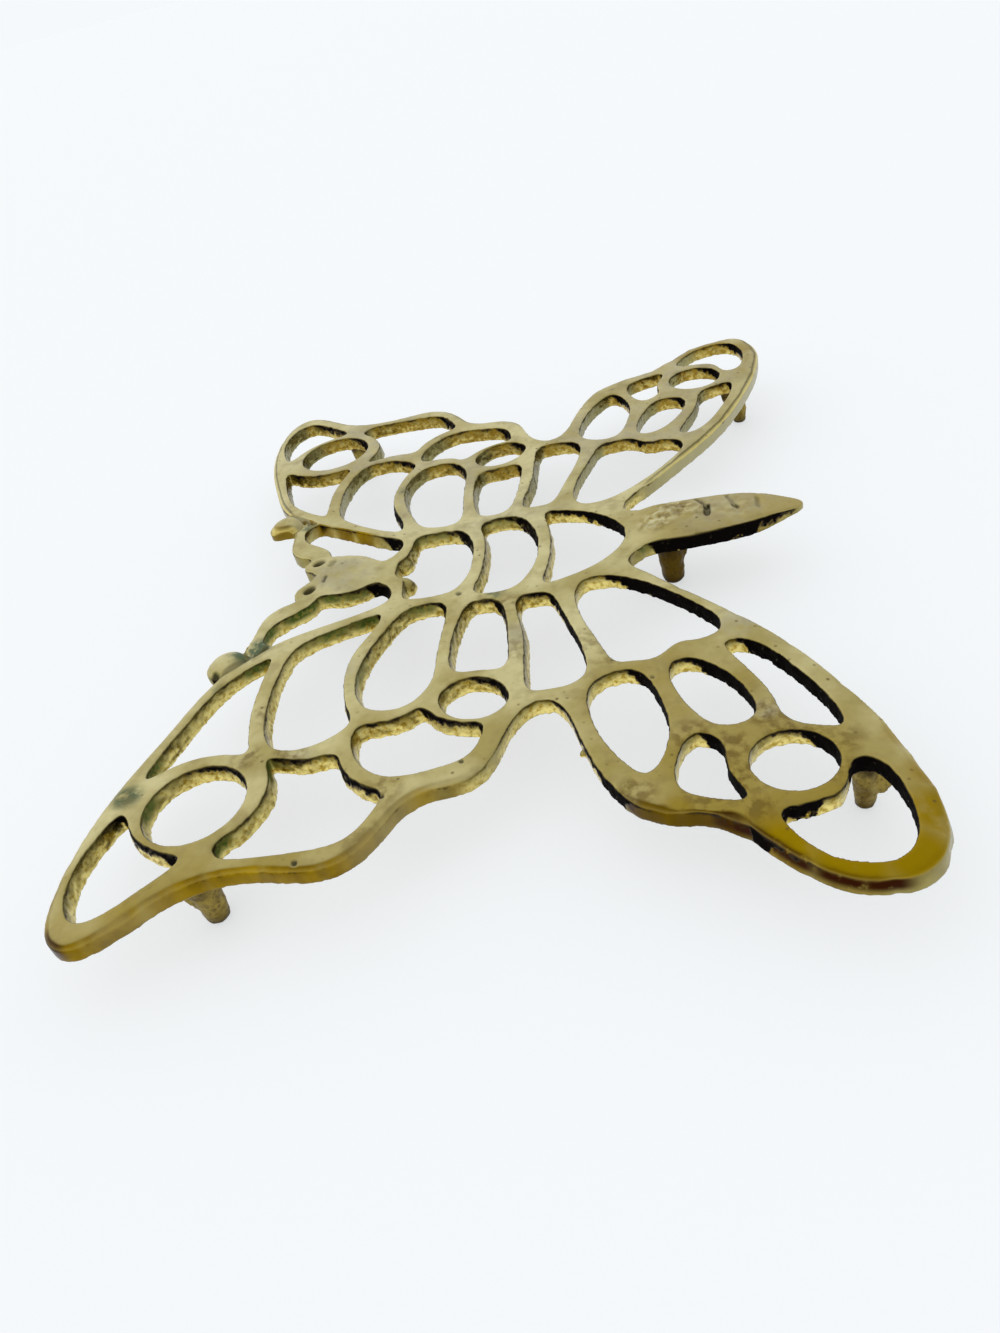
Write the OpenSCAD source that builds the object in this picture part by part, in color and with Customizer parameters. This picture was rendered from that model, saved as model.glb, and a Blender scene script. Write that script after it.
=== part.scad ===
// Butterfly trivet: a cast brass openwork plate that stands on five peg feet.
// The head points to +Y, the wings spread along X, and the feet rest on Z = 0.

/* [Overall] */
// Span across the hindwings
span = 242; // [220:1:280]
// Length from the front edge of the forewings to the back edge of the hindwings
length = 170; // [155:1:195]
// Height of the flat top of the plate above the table
stand_h = 17; // [13:0.5:26]

/* [Plate] */
// Thickness of the openwork plate
plate_t = 4.4; // [3:0.1:6]
// Width of the ribs between the openings
rib_w = 4.2; // [3.2:0.1:5]
// Longest run of a rounded corner along one side of an opening
corner_run = 8; // [6:0.5:10]
// Width of the thorax between the two wing roots
thorax_w = 47; // [44:1:50]

/* [Body] */
// Lift of the head and the antennae above the level of the plate
front_lift = 1.2; // [0:0.1:2]
// Lift of the abdomen above the level of the plate
tail_lift = 1.5; // [0:0.1:2]
// Height of the head's crown above the edge of the head
head_rise = 0.8; // [0.4:0.1:2]
// Height of the abdomen's ridge above the edge of the abdomen
abdomen_rise = 0.9; // [0.4:0.1:2]
// Diameter of the dimple in each eye
eye_d = 2.8; // [1.6:0.1:3.6]
// Depth of the dimple in each eye
eye_depth = 0.9; // [0.4:0.1:1.2]
// Depth of the marks across the abdomen
mark_depth = 0.5; // [0.2:0.1:0.8]
// Width of the marks across the abdomen at the ridge
mark_w = 2; // [1:0.1:3]

/* [Feet] */
// Diameter of a foot where it leaves the plate
foot_d = 7; // [6:0.1:8]
// Diameter of a foot just above its rounded tip
foot_tip_d = 5.2; // [4.4:0.1:5.8]
// Diameter of the flat that a foot rests on
foot_flat_d = 2.8; // [1.5:0.1:4]
// Height of the rounded tip of a foot
foot_tip_h = 1.6; // [0.8:0.1:3]

/* [Hidden] */

// Steps of the curve in each rounded corner, and the most of a side that one corner takes
steps = 4;
side_share = 0.5;
// Facets of a full turn
$fn = 64;

// The plate is drawn on squares: the span holds 24.2 of them and the length 17.
// The line through the middle of the length lies half a square ahead of the drawing's zero.
across_shares = 24.2;
along_shares = 17;
middle_share = 0.5;
pitch = [span / across_shares, length / along_shares];

// Heights
plate_z = stand_h - plate_t;

// Cuts between the pieces, in squares: three along the length and one across, beside the head
neck_share = 3.6;
split_share = -0.8;
tail_share = -3.45;
temple_share = 1.05;
// Half width of the ground that the head takes, and the abdomen behind it
temple_x = temple_share * pitch.x;

// Places of the feet, in squares
fore_foot_shares = [10.05, 6.15];
hind_foot_shares = [8.9, -7.1];
tail_foot_shares = [0, -4.15];

// Outer edge of the right half, from the neck round both wings to the root of the abdomen
edge_shares = [
    [0.5, 4.3], [0.55, 3.6], [0.95, 3.3], [1.3, 3.2], [1.62, 3.35], [1.85, 3.8], [2.5, 5.05],
    [3.1, 6.15], [3.8, 6.95], [4.4, 7.45], [5.3, 7.9], [7.3, 8.6], [8.3, 8.85], [9.3, 9], [10.6, 9],
    [11.5, 8.8], [11.95, 8.3], [11.85, 7.75], [11.3, 7.1], [10.75, 6.45], [10.45, 5.7], [10.4, 4.8],
    [10.55, 4], [10.6, 3.3], [10.3, 2.7], [9.7, 2.25], [9.1, 1.95], [8.75, 1.45], [8.7, 0.9],
    [8.55, 0.4], [8, 0.03], [7.2, -0.2], [6.7, -0.45], [6.42, -0.8], [6.45, -1.2], [6.9, -1.5],
    [7.6, -1.7], [8.5, -1.97], [9.3, -2.35], [9.85, -2.75], [10.1, -3.3], [10.2, -3.95],
    [10.45, -4.55], [10.95, -5.05], [11.5, -5.5], [11.95, -6.1], [12.1, -6.6], [12.1, -7.15],
    [11.85, -7.6], [11.4, -7.9], [10.9, -8], [10.2, -8], [9.4, -7.85], [8.5, -7.6], [7.6, -7.25],
    [6.7, -6.85], [5.8, -6.4], [4.9, -5.83], [4.1, -5.2], [2.6, -3.95], [2.1, -3.5], [1.7, -3.15],
    [1.35, -3.05], [1.05, -3.2], [0.92, -3.6], [0.92, -4.3]
];

// Openings of the right forewing, each drawn along the middle of the ribs round it
tip_shares = [
    [11.55, 8.1], [11.2, 8.63], [10.4, 8.93], [9.4, 8.9], [8.3, 8.5], [8.15, 8.1], [9.05, 7.6],
    [9.5, 6.9], [9.65, 6.3], [10.1, 6.23], [10.6, 6.75], [11.3, 7.5]
];
front_shares = [
    [7.4, 8.33], [6.6, 8.15], [5.6, 7.83], [4.6, 7.4], [3.85, 6.75], [3.32, 6.02], [3.5, 5.67],
    [4.2, 5.73], [5.5, 5.88], [6.4, 5.68], [6.92, 5.5], [7.14, 5.85], [6.98, 6.55], [7.12, 7.3],
    [7.62, 8]
];
upper_shares = [
    [7.1, 5.33], [6.1, 5.78], [5, 5.85], [3.8, 5.73], [3.1, 5.55], [2.5, 4.75], [1.93, 3.6],
    [1.9, 3.08], [2.7, 3.2], [3.7, 3.66], [4.6, 3.73], [5.6, 3.53], [6.3, 3.15], [6.85, 3.6],
    [7.23, 4.35]
];
trailing_shares = [
    [10.25, 5.6], [9.75, 6], [9.4, 5.8], [9, 5.38], [8.4, 5.12], [7.8, 5.17], [7.22, 5.46],
    [6.97, 5.18], [7.23, 4.3], [7.03, 3.42], [7.75, 3.22], [8.25, 2.75], [8.55, 2.05], [9.25, 2.28],
    [9.95, 2.68], [10.22, 3.25], [10.27, 4.4]
];
middle_cell_shares = [
    [6.25, 2.7], [6.05, 3.3], [5.3, 3.7], [4.5, 3.77], [3.6, 3.6], [2.6, 3.2], [1.95, 2.85],
    [1.75, 2.2], [1.85, 1.45], [2.7, 1.38], [4, 1.48], [5.2, 1.43], [5.95, 1.8], [6.23, 2.25]
];
outer_cell_shares = [
    [8.48, 1.95], [8.35, 2.6], [7.85, 3.15], [7.1, 3.5], [6.23, 3.43], [6.3, 2.7], [6.2, 2.25],
    [5.75, 1.8], [6.45, 1.25], [6.68, 0.7], [6.7, 0.15], [7.4, 0.15], [8.1, 0.45], [8.32, 1.1]
];
oval_shares = [
    [6.98, 0.5], [6.8, 1.2], [6, 1.68], [5.3, 1.4], [5.03, 0.65], [5.4, -0.1], [6, -0.38],
    [6.45, -0.35], [6.85, 0]
];
lower_shares = [
    [5.22, 1.42], [4, 1.53], [3, 1.43], [2.1, 1.23], [1.93, 0.65], [2.1, 0.05], [3, -0.18],
    [4.2, -0.28], [5.38, -0.3], [5.22, 0.55]
];
// Opening between the two wings of one side
between_shares = [
    [6.2, -0.38], [5, -0.32], [3.9, -0.3], [2.9, -0.06], [2.05, -0.03], [2.03, -0.7], [2.1, -1.27],
    [3.2, -1.6], [4.4, -2], [5.7, -2.22], [6.25, -1.73], [6.3, -1]
];
// Openings of the right hindwing
root_cell_shares = [
    [5.68, -2.36], [4.7, -2.03], [3.6, -1.63], [2.5, -1.43], [1.75, -1.7], [1.63, -2.4],
    [1.95, -3.15], [2.7, -4], [3.7, -4.83], [4.3, -5.2], [5, -5.15], [5.3, -4.5], [5.23, -4.05],
    [5.75, -3.6], [5.73, -3]
];
high_cell_shares = [
    [9.4, -3.1], [9.05, -2.6], [8.2, -2.07], [7.2, -1.75], [6.2, -1.67], [5.7, -2.15], [5.52, -2.8],
    [5.8, -3.35], [6.7, -3.65], [7.8, -3.83], [8.8, -3.58]
];
low_cell_shares = [
    [8.23, -4.8], [8.05, -4.2], [7.25, -3.75], [6.35, -3.48], [5.63, -3.52], [5.37, -4.1],
    [5.75, -4.75], [6.6, -5.33], [7.5, -5.58], [8.05, -5.35]
];
slot_shares = [
    [5.45, -4.7], [5.05, -4.9], [5, -5.45], [5.55, -6.03], [6.5, -6.53], [7.5, -6.97], [8.45, -7.13],
    [8.63, -6.65], [8.23, -5.58], [7.2, -5.48], [6.3, -5.1]
];
notch_shares = [
    [9.8, -3.42], [9.1, -3.32], [8.25, -3.56], [7.73, -4.1], [8.35, -4.82], [9.15, -4.73],
    [9.8, -5.03], [10.3, -4.93], [10.15, -4.2]
];
back_shares = [
    [11.98, -6.6], [11.75, -5.85], [11.05, -5.28], [10.2, -4.93], [10.08, -5.8], [9.95, -6.35],
    [9, -6.6], [9.15, -7.4], [10, -7.7], [10.9, -7.75], [11.6, -7.53], [11.95, -7.05]
];
// Openings of the thorax, right half, from front to back
collar_shares = [
    [0, 3.4], [0.45, 3.4], [0.75, 3.1], [1.4, 3.05], [1.82, 2.9], [1.82, 1.5], [1.3, 1.1], [0.6, 0.9],
    [0, 0.9]
];
chest_shares = [
    [0, 0.9], [0.9, 0.95], [1.85, 1.25], [2.1, 0.5], [2, -0.3], [1.2, -0.72], [0.5, -0.9], [0, -0.9]
];
heart_shares = [
    [0, -0.9], [0.9, -0.83], [2, -0.6], [2.03, -1.2], [1.65, -2.2], [1, -2.93], [0.35, -3.25], [0, -3.25]
];
// Rings in the wings: middle across, middle along and middle radius
fore_ring_shares = [8.36, 6.57, 1.34];
hind_ring_shares = [9.15, -5.77, 1.03];
ring_corners = 10;

// Outline of the right half of the head, with the eye at its front
head_shares = [
    [0.5, 3.1], [0.55, 3.75], [0.9, 4.15], [1.02, 4.65], [0.98, 5.1], [1.12, 5.35], [1.15, 5.75],
    [0.85, 6], [0.45, 5.95], [0.25, 5.6], [0, 5.52]
];
crown_share = 4.7;
eye_shares = [0.68, 5.58];
// Outline of the right antenna, from the head to its knob and back
antenna_shares = [
    [0.8, 5.85], [1.1, 5.85], [1.25, 6.25], [1.6, 6.58], [2.1, 6.68], [2.7, 6.72], [3.05, 6.85],
    [3, 7.25], [3.1, 7.65], [3.5, 7.75], [3.9, 7.6], [4.05, 7.2], [4.1, 6.9], [3.5, 6.2], [3.1, 5.9],
    [2.9, 6.35], [2.45, 6.38], [2.05, 6.2], [1.75, 5.8], [1.4, 5.35], [0.8, 5.15]
];
// Outline of the right half of the abdomen
abdomen_shares = [
    [0.88, -3], [0.9, -3.7], [0.93, -4.4], [0.91, -5], [0.84, -5.7], [0.7, -6.4], [0.46, -7.1],
    [0.2, -7.6]
];
abdomen_half_share = 0.93;
mark_shares = [-5.2, -6, -6.55];

// Point of the drawing in millimetres
function place(share) = [share.x * pitch.x, (share.y - middle_share) * pitch.y];
function along(share) = (share - middle_share) * pitch.y;

// Ten-sided guide of a ring, in squares, which rounds into a circle
function ring(shares) = [
    for (turn = [0 : ring_corners - 1])
        [shares.x, shares.y] + shares.z / cos(180 / ring_corners)
            * [cos(360 * turn / ring_corners), sin(360 * turn / ring_corners)]
];

// Right half of an outline and its mirror image as one closed list, in squares
function both_halves(half) = concat(
    half,
    [for (i = [len(half) - 1 : -1 : 0]) if (half[i].x > 0) [-half[i].x, half[i].y]]
);

// Twice the signed area of a closed list of points, positive where it runs anticlockwise
function doubled_area(points) = [
    for (i = 0, sum = 0; i <= len(points);
            sum = i < len(points) ? sum + cross(points[i], points[(i + 1) % len(points)]) : sum, i = i + 1)
        sum
][len(points)];

// Point on the side from one corner towards the next, where the rounding of the corner ends
function turning(corner, next) =
    corner + (next - corner) * min(side_share, corner_run / norm(next - corner));

// Corner of an outline, moved so that both sides that meet there step to the left by inset
function mitred(before, corner, after, inset) =
    let (
        coming = (corner - before) / norm(corner - before),
        going = (after - corner) / norm(after - corner)
    )
    corner + inset * [-coming.y - going.y, coming.x + going.x] / (1 + coming * going);

// Closed outline in millimetres, moved inwards by inset and with every corner rounded
function rounded(shares, inset) =
    let (
        points = [for (share = shares) place(share)],
        n = len(points),
        side = sign(doubled_area(points)),
        corners = [
            for (i = [0 : n - 1])
                mitred(points[(i + n - 1) % n], points[i], points[(i + 1) % n], side * inset)
        ]
    )
    [
        for (i = [0 : n - 1], k = [0 : steps - 1])
            let (
                from = turning(corners[i], corners[(i + n - 1) % n]),
                to = turning(corners[i], corners[(i + 1) % n]),
                t = (2 * k + 1) / (2 * steps)
            )
            from * pow(1 - t, 2) + 2 * corners[i] * t * (1 - t) + to * pow(t, 2)
    ];

// Radius of a dome that rises by rise over a half width
function dome_r(half, rise) = (pow(half, 2) + pow(rise, 2)) / (2 * rise);

// The same cells on the left side, in squares
function mirrored(cells) = [for (cell = cells) [for (share = cell) [-share.x, share.y]]];

fore_cells = [
    tip_shares, front_shares, upper_shares, trailing_shares, middle_cell_shares, outer_cell_shares,
    oval_shares, lower_shares, between_shares, ring(fore_ring_shares)
];
hind_cells = [
    between_shares, root_cell_shares, high_cell_shares, low_cell_shares, slot_shares, notch_shares,
    back_shares, ring(hind_ring_shares)
];
root_cells = [upper_shares, middle_cell_shares, lower_shares, between_shares, root_cell_shares];
thorax_cells = [both_halves(collar_shares), both_halves(chest_shares), both_halves(heart_shares)];

// The whole plate without its openings
module plate_outline() {
    polygon(rounded(both_halves(edge_shares), 0));
}

// Rectangle between two corners
module area(low, high) {
    translate(low)
        square(high - low);
}

// Ground of the head, from the neck forwards
module head_ground() {
    area([-temple_x, along(neck_share)], [temple_x, length]);
}

// Ground of the abdomen, from its root backwards
module abdomen_ground() {
    area([-temple_x, -length], [temple_x, along(tail_share)]);
}

// Piece of the plate on the ground that its child draws, with its openings half a rib inside their guides
module plate_piece(cells) {
    translate([0, 0, plate_z])
        linear_extrude(plate_t)
            difference() {
                intersection() {
                    plate_outline();
                    children();
                }
                for (cell = cells)
                    polygon(rounded(cell, rib_w / 2));
            }
}

module left_side() {
    mirror([1, 0, 0])
        children();
}

module forewing() {
    plate_piece(fore_cells)
        area([thorax_w / 2, along(split_share)], [span, length]);
}

module hindwing() {
    plate_piece(hind_cells)
        area([thorax_w / 2, -length], [span, along(split_share)]);
}

// Feeler that leaves the head and lies against the front edge of the wing with its knob
module antenna() {
    translate([0, 0, plate_z + front_lift])
        linear_extrude(plate_t)
            difference() {
                intersection() {
                    polygon(rounded(antenna_shares, 0));
                    area([temple_x, 0], [span, length]);
                }
                plate_outline();
            }
}

// Peg with a tapered shank and a rounded tip that ends in a small flat, up to the underside that it carries
module foot(shares, foot_h = plate_z) {
    spot = place(shares);
    translate([spot.x, spot.y, 0])
        rotate_extrude()
            polygon(concat(
                [[0, foot_h], [0, 0], [foot_flat_d / 2, 0]],
                [
                    for (k = [1 : steps])
                        let (turn = 90 * k / steps)
                        [foot_flat_d / 2 + (foot_tip_d - foot_flat_d) / 2 * sin(turn),
                            foot_tip_h * (1 - cos(turn))]
                ],
                [[foot_d / 2, foot_h]]
            ));
}

module left_forewing() {
    color("darkkhaki")
        left_side()
            forewing();
}

module right_forewing() {
    color("darkkhaki")
        forewing();
}

module left_hindwing() {
    color("darkkhaki")
        left_side()
            hindwing();
}

module right_hindwing() {
    color("darkkhaki")
        hindwing();
}

module thorax() {
    color("darkkhaki")
        plate_piece(concat(thorax_cells, root_cells, mirrored(root_cells)))
            difference() {
                area([-thorax_w / 2, -length], [thorax_w / 2, length]);
                head_ground();
                abdomen_ground();
            }
}

// Rounded head with a dimpled eye on each side of its front
module head() {
    crown_y = along(crown_share);
    crown_r = dome_r(norm([temple_x, along(eye_shares.y) - crown_y]), head_rise);
    eye = place(eye_shares);
    eye_r = dome_r(eye_d / 2, eye_depth);
    color("darkkhaki")
        translate([0, 0, front_lift])
            difference() {
                intersection() {
                    translate([0, 0, plate_z])
                        linear_extrude(plate_t + head_rise)
                            intersection() {
                                polygon(rounded(both_halves(head_shares), 0));
                                head_ground();
                            }
                    translate([0, crown_y, stand_h + head_rise - crown_r])
                        sphere(crown_r);
                }
                for (side = [-1, 1])
                    translate([side * eye.x, eye.y, stand_h - eye_depth + eye_r])
                        sphere(eye_r);
            }
}

module left_antenna() {
    color("darkkhaki")
        left_side()
            antenna();
}

module right_antenna() {
    color("darkkhaki")
        antenna();
}

// Spindle with a low ridge along it and three marks across it
module abdomen() {
    ridge_r = dome_r(abdomen_half_share * pitch.x, abdomen_rise);
    mark_r = dome_r(mark_w / 2, mark_depth);
    color("darkkhaki")
        translate([0, 0, tail_lift])
            difference() {
                intersection() {
                    translate([0, 0, plate_z])
                        linear_extrude(plate_t + abdomen_rise)
                            intersection() {
                                polygon(rounded(both_halves(abdomen_shares), 0));
                                abdomen_ground();
                            }
                    translate([0, 0, stand_h + abdomen_rise - ridge_r])
                        rotate([90, 0, 0])
                            cylinder(h = 2 * length, r = ridge_r, center = true);
                }
                for (share = mark_shares)
                    translate([0, along(share), stand_h + abdomen_rise - mark_depth + mark_r])
                        rotate([0, 90, 0])
                            cylinder(h = thorax_w, r = mark_r, center = true);
            }
}

module left_fore_foot() {
    color("peru")
        left_side()
            foot(fore_foot_shares);
}

module right_fore_foot() {
    color("peru")
        foot(fore_foot_shares);
}

module left_hind_foot() {
    color("peru")
        left_side()
            foot(hind_foot_shares);
}

module right_hind_foot() {
    color("peru")
        foot(hind_foot_shares);
}

module tail_foot() {
    color("peru")
        foot(tail_foot_shares, plate_z + tail_lift);
}

left_forewing();
right_forewing();
left_hindwing();
right_hindwing();
thorax();
head();
left_antenna();
right_antenna();
abdomen();
left_fore_foot();
right_fore_foot();
left_hind_foot();
right_hind_foot();
tail_foot();
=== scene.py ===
from math import cos, radians, sin

import bpy
import numpy as np
from mathutils import Euler, Matrix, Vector
from mathutils.kdtree import KDTree


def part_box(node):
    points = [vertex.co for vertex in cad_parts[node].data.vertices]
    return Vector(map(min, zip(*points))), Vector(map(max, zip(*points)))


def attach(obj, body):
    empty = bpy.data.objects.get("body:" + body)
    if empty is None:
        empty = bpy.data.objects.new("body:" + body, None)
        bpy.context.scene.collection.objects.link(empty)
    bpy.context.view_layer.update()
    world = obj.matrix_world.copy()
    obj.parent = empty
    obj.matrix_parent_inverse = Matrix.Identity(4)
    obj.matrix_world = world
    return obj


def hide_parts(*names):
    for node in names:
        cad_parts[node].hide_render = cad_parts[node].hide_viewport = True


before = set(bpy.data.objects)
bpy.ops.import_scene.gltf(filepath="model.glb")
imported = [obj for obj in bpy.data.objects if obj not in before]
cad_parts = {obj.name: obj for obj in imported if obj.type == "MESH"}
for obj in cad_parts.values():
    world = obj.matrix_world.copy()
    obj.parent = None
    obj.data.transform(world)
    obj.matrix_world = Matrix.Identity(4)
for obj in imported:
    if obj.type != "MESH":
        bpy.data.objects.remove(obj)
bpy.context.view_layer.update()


# The casting: the whole trivet is one pour of yellow brass in a sand mould. Its regions are copied from
# the solids of the frame and fused into one skin, with the flash that ran into the mould's parting line.
MM = 0.001
WELD = 0.001 * MM
SWELL = 0.05 * MM
SKIN_GRAIN = 0.4 * MM
SMOOTHING = 0.5
SOFT_CORNER_PASSES = 3
PLATE_UNDERSIDE, PLATE_TOP = [corner.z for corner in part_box("thorax")]
FLASH_THICKNESS = 1.3 * MM
FLASH_TOP = 13 * MM
FLASH_CUTS = 4
FLASH_TAPER = 0.45
BEAD_ROUNDNESS = 3
# foot: heading of its fin in degrees from +X, how far it stands out, its lower end in mm, and the peg's girth
FLASH_FINS = {
    "left_fore_foot": (118, 1.5, 4.2, 1.0),
    "right_fore_foot": (64, 1.3, 5.0, 1.0),
    "left_hind_foot": (252, 3.0, 4.0, 0.78),
    "right_hind_foot": (112, 2.6, 5.0, 0.8),
    "tail_foot": (268, 1.9, 4.8, 1.12),
}
# solids that stand above the plate: they are set down to be fused, and lifted smoothly later
LIFTED = ("head", "left_antenna", "right_antenna", "abdomen")
# beads of metal on the walls, the last two beside the neck, in mm: place and radius
LUMPS = [
    (-79.3, -22.6, 13.2, 0.85), (-78.3, -27.2, 13.0, 0.85), (-88.0, -33.6, 13.4, 0.85),
    (52.0, 3.0, 13.1, 0.85), (97.5, -41.0, 13.2, 0.85), (6.0, 26.8, 13.8, 3.0),
    (-5.4, 24.8, 13.7, 2.9),
]


def pick(*pieces):
    """Leaves only these objects selected, the first of them active."""
    bpy.ops.object.select_all(action="DESELECT")
    for piece in pieces:
        piece.select_set(True)
    bpy.context.view_layer.objects.active = pieces[0]


def work(piece, kind, **settings):
    """Sets one modifier on a piece and applies it."""
    pick(piece)
    tool = piece.modifiers.new(kind.lower(), kind)
    for name, value in settings.items():
        setattr(tool, name, value)
    bpy.ops.object.modifier_apply(modifier=tool.name)


def block(low, high):
    """A square block between two corners, in millimetres of the frame."""
    bpy.ops.object.select_all(action="DESELECT")
    bpy.ops.mesh.primitive_cube_add(size=1, location=[(a + b) / 2 * MM for a, b in zip(low, high)])
    made = bpy.context.object
    made.scale = [(b - a) * MM for a, b in zip(low, high)]
    bpy.ops.object.transform_apply(location=True, rotation=True, scale=True)
    return made


moulds = []
for node_name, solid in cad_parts.items():
    mould = bpy.data.objects.new("mould_" + node_name, solid.data.copy())
    bpy.context.collection.objects.link(mould)
    pick(mould)
    bpy.ops.object.mode_set(mode="EDIT")
    bpy.ops.mesh.select_all(action="SELECT")
    bpy.ops.mesh.remove_doubles(threshold=WELD)
    low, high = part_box(node_name)
    if node_name in LIFTED:
        bpy.ops.transform.translate(value=(0, 0, PLATE_UNDERSIDE - low.z))
    if node_name in FLASH_FINS:
        girth = FLASH_FINS[node_name][3]
        bpy.ops.transform.resize(value=(girth, girth, 1), center_override=(low + high) / 2)
    bpy.ops.object.mode_set(mode="OBJECT")
    work(mould, "DISPLACE", strength=SWELL, mid_level=0)
    moulds.append(mould)

for foot_name, (heading, proud, lower_end, _) in FLASH_FINS.items():
    low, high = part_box(foot_name)
    peg_radius = (high.x - low.x) / 2
    reach = peg_radius + proud * MM
    bpy.ops.object.select_all(action="DESELECT")
    bpy.ops.mesh.primitive_cube_add(size=1)
    fin = bpy.context.object
    fin.scale = (reach, FLASH_THICKNESS, FLASH_TOP - lower_end * MM)
    bpy.ops.object.transform_apply(location=False, rotation=False, scale=True)
    bpy.ops.object.mode_set(mode="EDIT")
    bpy.ops.mesh.select_all(action="SELECT")
    bpy.ops.mesh.subdivide(number_cuts=FLASH_CUTS)
    bpy.ops.object.mode_set(mode="OBJECT")
    for corner in fin.data.vertices:
        drop = 0.5 - corner.co.z / (FLASH_TOP - lower_end * MM)
        corner.co.x += reach / 2
        corner.co.x *= 1 - FLASH_TAPER * drop ** 2
    fin.location = ((low.x + high.x) / 2, (low.y + high.y) / 2, (FLASH_TOP + lower_end * MM) / 2)
    fin.rotation_euler = (0, 0, radians(heading))
    bpy.ops.object.transform_apply(location=True, rotation=True, scale=True)
    moulds.append(fin)

for x, y, z, radius in LUMPS:
    bpy.ops.object.select_all(action="DESELECT")
    centre = (x * MM, y * MM, z * MM)
    bpy.ops.mesh.primitive_ico_sphere_add(subdivisions=BEAD_ROUNDNESS, radius=radius * MM, location=centre)
    moulds.append(bpy.context.object)

pick(*moulds)
bpy.ops.object.join()
bpy.ops.object.transform_apply(location=True, rotation=True, scale=True)
casting = bpy.context.object
casting.name = "casting"
casting.data.materials.clear()
work(casting, "REMESH", mode="VOXEL", voxel_size=SKIN_GRAIN, adaptivity=0)
work(casting, "SMOOTH", factor=SMOOTHING, iterations=SOFT_CORNER_PASSES)


# The surfaces of the casting: the outer rim is filed round and buffed, the walls of the cells stay as rough
# as the sand left them, with ragged lower edges and a draft on the front ribs, and the top is ground flat
# by hand and pitted here and there.
PLAN_SQUARE = 0.5 * MM
PLAN_MARGIN = 20
PLAN_SLACK = 0.2 * MM
RIM_REACH = 12
RIM_BLUR_PASSES = 2
# a pair of values, here and below, is where a change begins and where it is complete
RIM_NEAR = (0.45, 0.75)
RIM_PASSES = 7
RIM_ROOM = 1 * MM
CHAMFER_WIDTH = 1.8 * MM
CHAMFER_FALL = 0.9 * MM
CHAMFER_CURVE = 1.4
CRISP_SHARE = 0.85
CRISP_UNBUFFED = 0.7
SLOPE_WIDTH = 5.5 * MM
SLOPE_FALL = 1.0 * MM
SLOPE_CURVE = 1.3
RISE_LIMIT = 1.2
FLARE = 0.9 * MM
FLARE_RIM = (0.7, 0.9)
FLARE_ROOM = 0.5 * MM
DRAFT = 0.5 * MM
DRAFT_PASSES = 6
DRAFT_STEEPNESS = 0.2
DRAFT_ALONG = (-24 * MM, -8 * MM)
DRAFT_RIM = (0.4, 0.7)
DRAFT_ROOM = 2 * MM
TAIL_HALF = 12 * MM
TAIL_FROM = (38 * MM, 46 * MM)
RIDGE_FROM = (39 * MM, 49 * MM)
TAIL_TIP = (66 * MM, 85 * MM)
TAIL_TIP_HEIGHT = 15 * MM
TAIL_TIP_FLATNESS = 0.85
TAIL_TIP_NARROWING = 0.2
TAIL_LIFT = 1.6 * MM
TAIL_ALONG = (34 * MM, 45 * MM)
TAIL_ACROSS = (13 * MM, 26 * MM)
HEAD_LIFT = 1.5 * MM
HEAD_ALONG = (30 * MM, 54 * MM)
HEAD_ACROSS = (38 * MM, 60 * MM)
FAR_SIDE = (15 * MM, 40 * MM)
BLOTCH_EDGE = (0.45, 1.35)
WEIGHT_STEPS = 20
FACES_UP = (0.1, 0.6)
FACES_LEVEL = (0.5, 0.95)
# places in mm where the rim was left crisp: centre and radius, on both sides
CRISP_RIM = [
    (76, -5, 8), (66, -9, 8), (66, -20, 9), (78, -24, 9), (90, -29, 8), (15, 30, 12), (14, -36, 8),
    (0, 46, 14), (20, 52, 12), (34, 64, 9), (24, -42, 9), (36, -53, 10), (50, -63, 10), (64, -72, 10),
    (80, -79, 10), (0, -44, 14), (0, -60, 14), (0, -74, 12), (103, -44, 7), (109, -54, 8),
    (116, -60, 8), (121, -68, 8), (120, -76, 8), (114, -82, 8), (105, -86, 8),
]
# the edge of the far hindwing, filed to a bevel all the same: centre, radius and strength
FAR_BEVEL = [
    (30, -47, 7, 0.7), (40, -56, 8, 0.9), (50, -63, 8, 0.9), (64, -72, 9, 0.9), (80, -79, 9, 0.9),
    (96, -84, 9, 0.8), (108, -84, 9, 0.7),
]
# places in mm where the outer wall is as rough as the cells: centre, radius and strength
ROUGH_RIM = [
    (-82, 0, 5, 0.7), (-72, -5, 7, 1), (-63, -10, 7, 1), (-64, -18, 7, 1), (-74, -20, 7, 1),
    (-83, -23, 6, 1), (-92, -27, 5, 1), (72, -5, 7, 1), (63, -10, 7, 1), (64, -18, 7, 1),
    (80, -23, 8, 1), (-17, -40, 6, 1), (17, -40, 6, 1),
]
# the same where walls of cells and the sides of the abdomen's tip were filed smooth
SMOOTH_WALLS = [
    (35, 60, 5, 1), (31, 53, 5, 1), (27, 46, 5, 1), (23, 39.5, 5, 1), (20, 34, 4, 0.8),
    (-6, -70, 6, 0.8), (6, -70, 6, 0.8), (0, -77, 8, 1), (0, -84, 8, 1),
]
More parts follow.
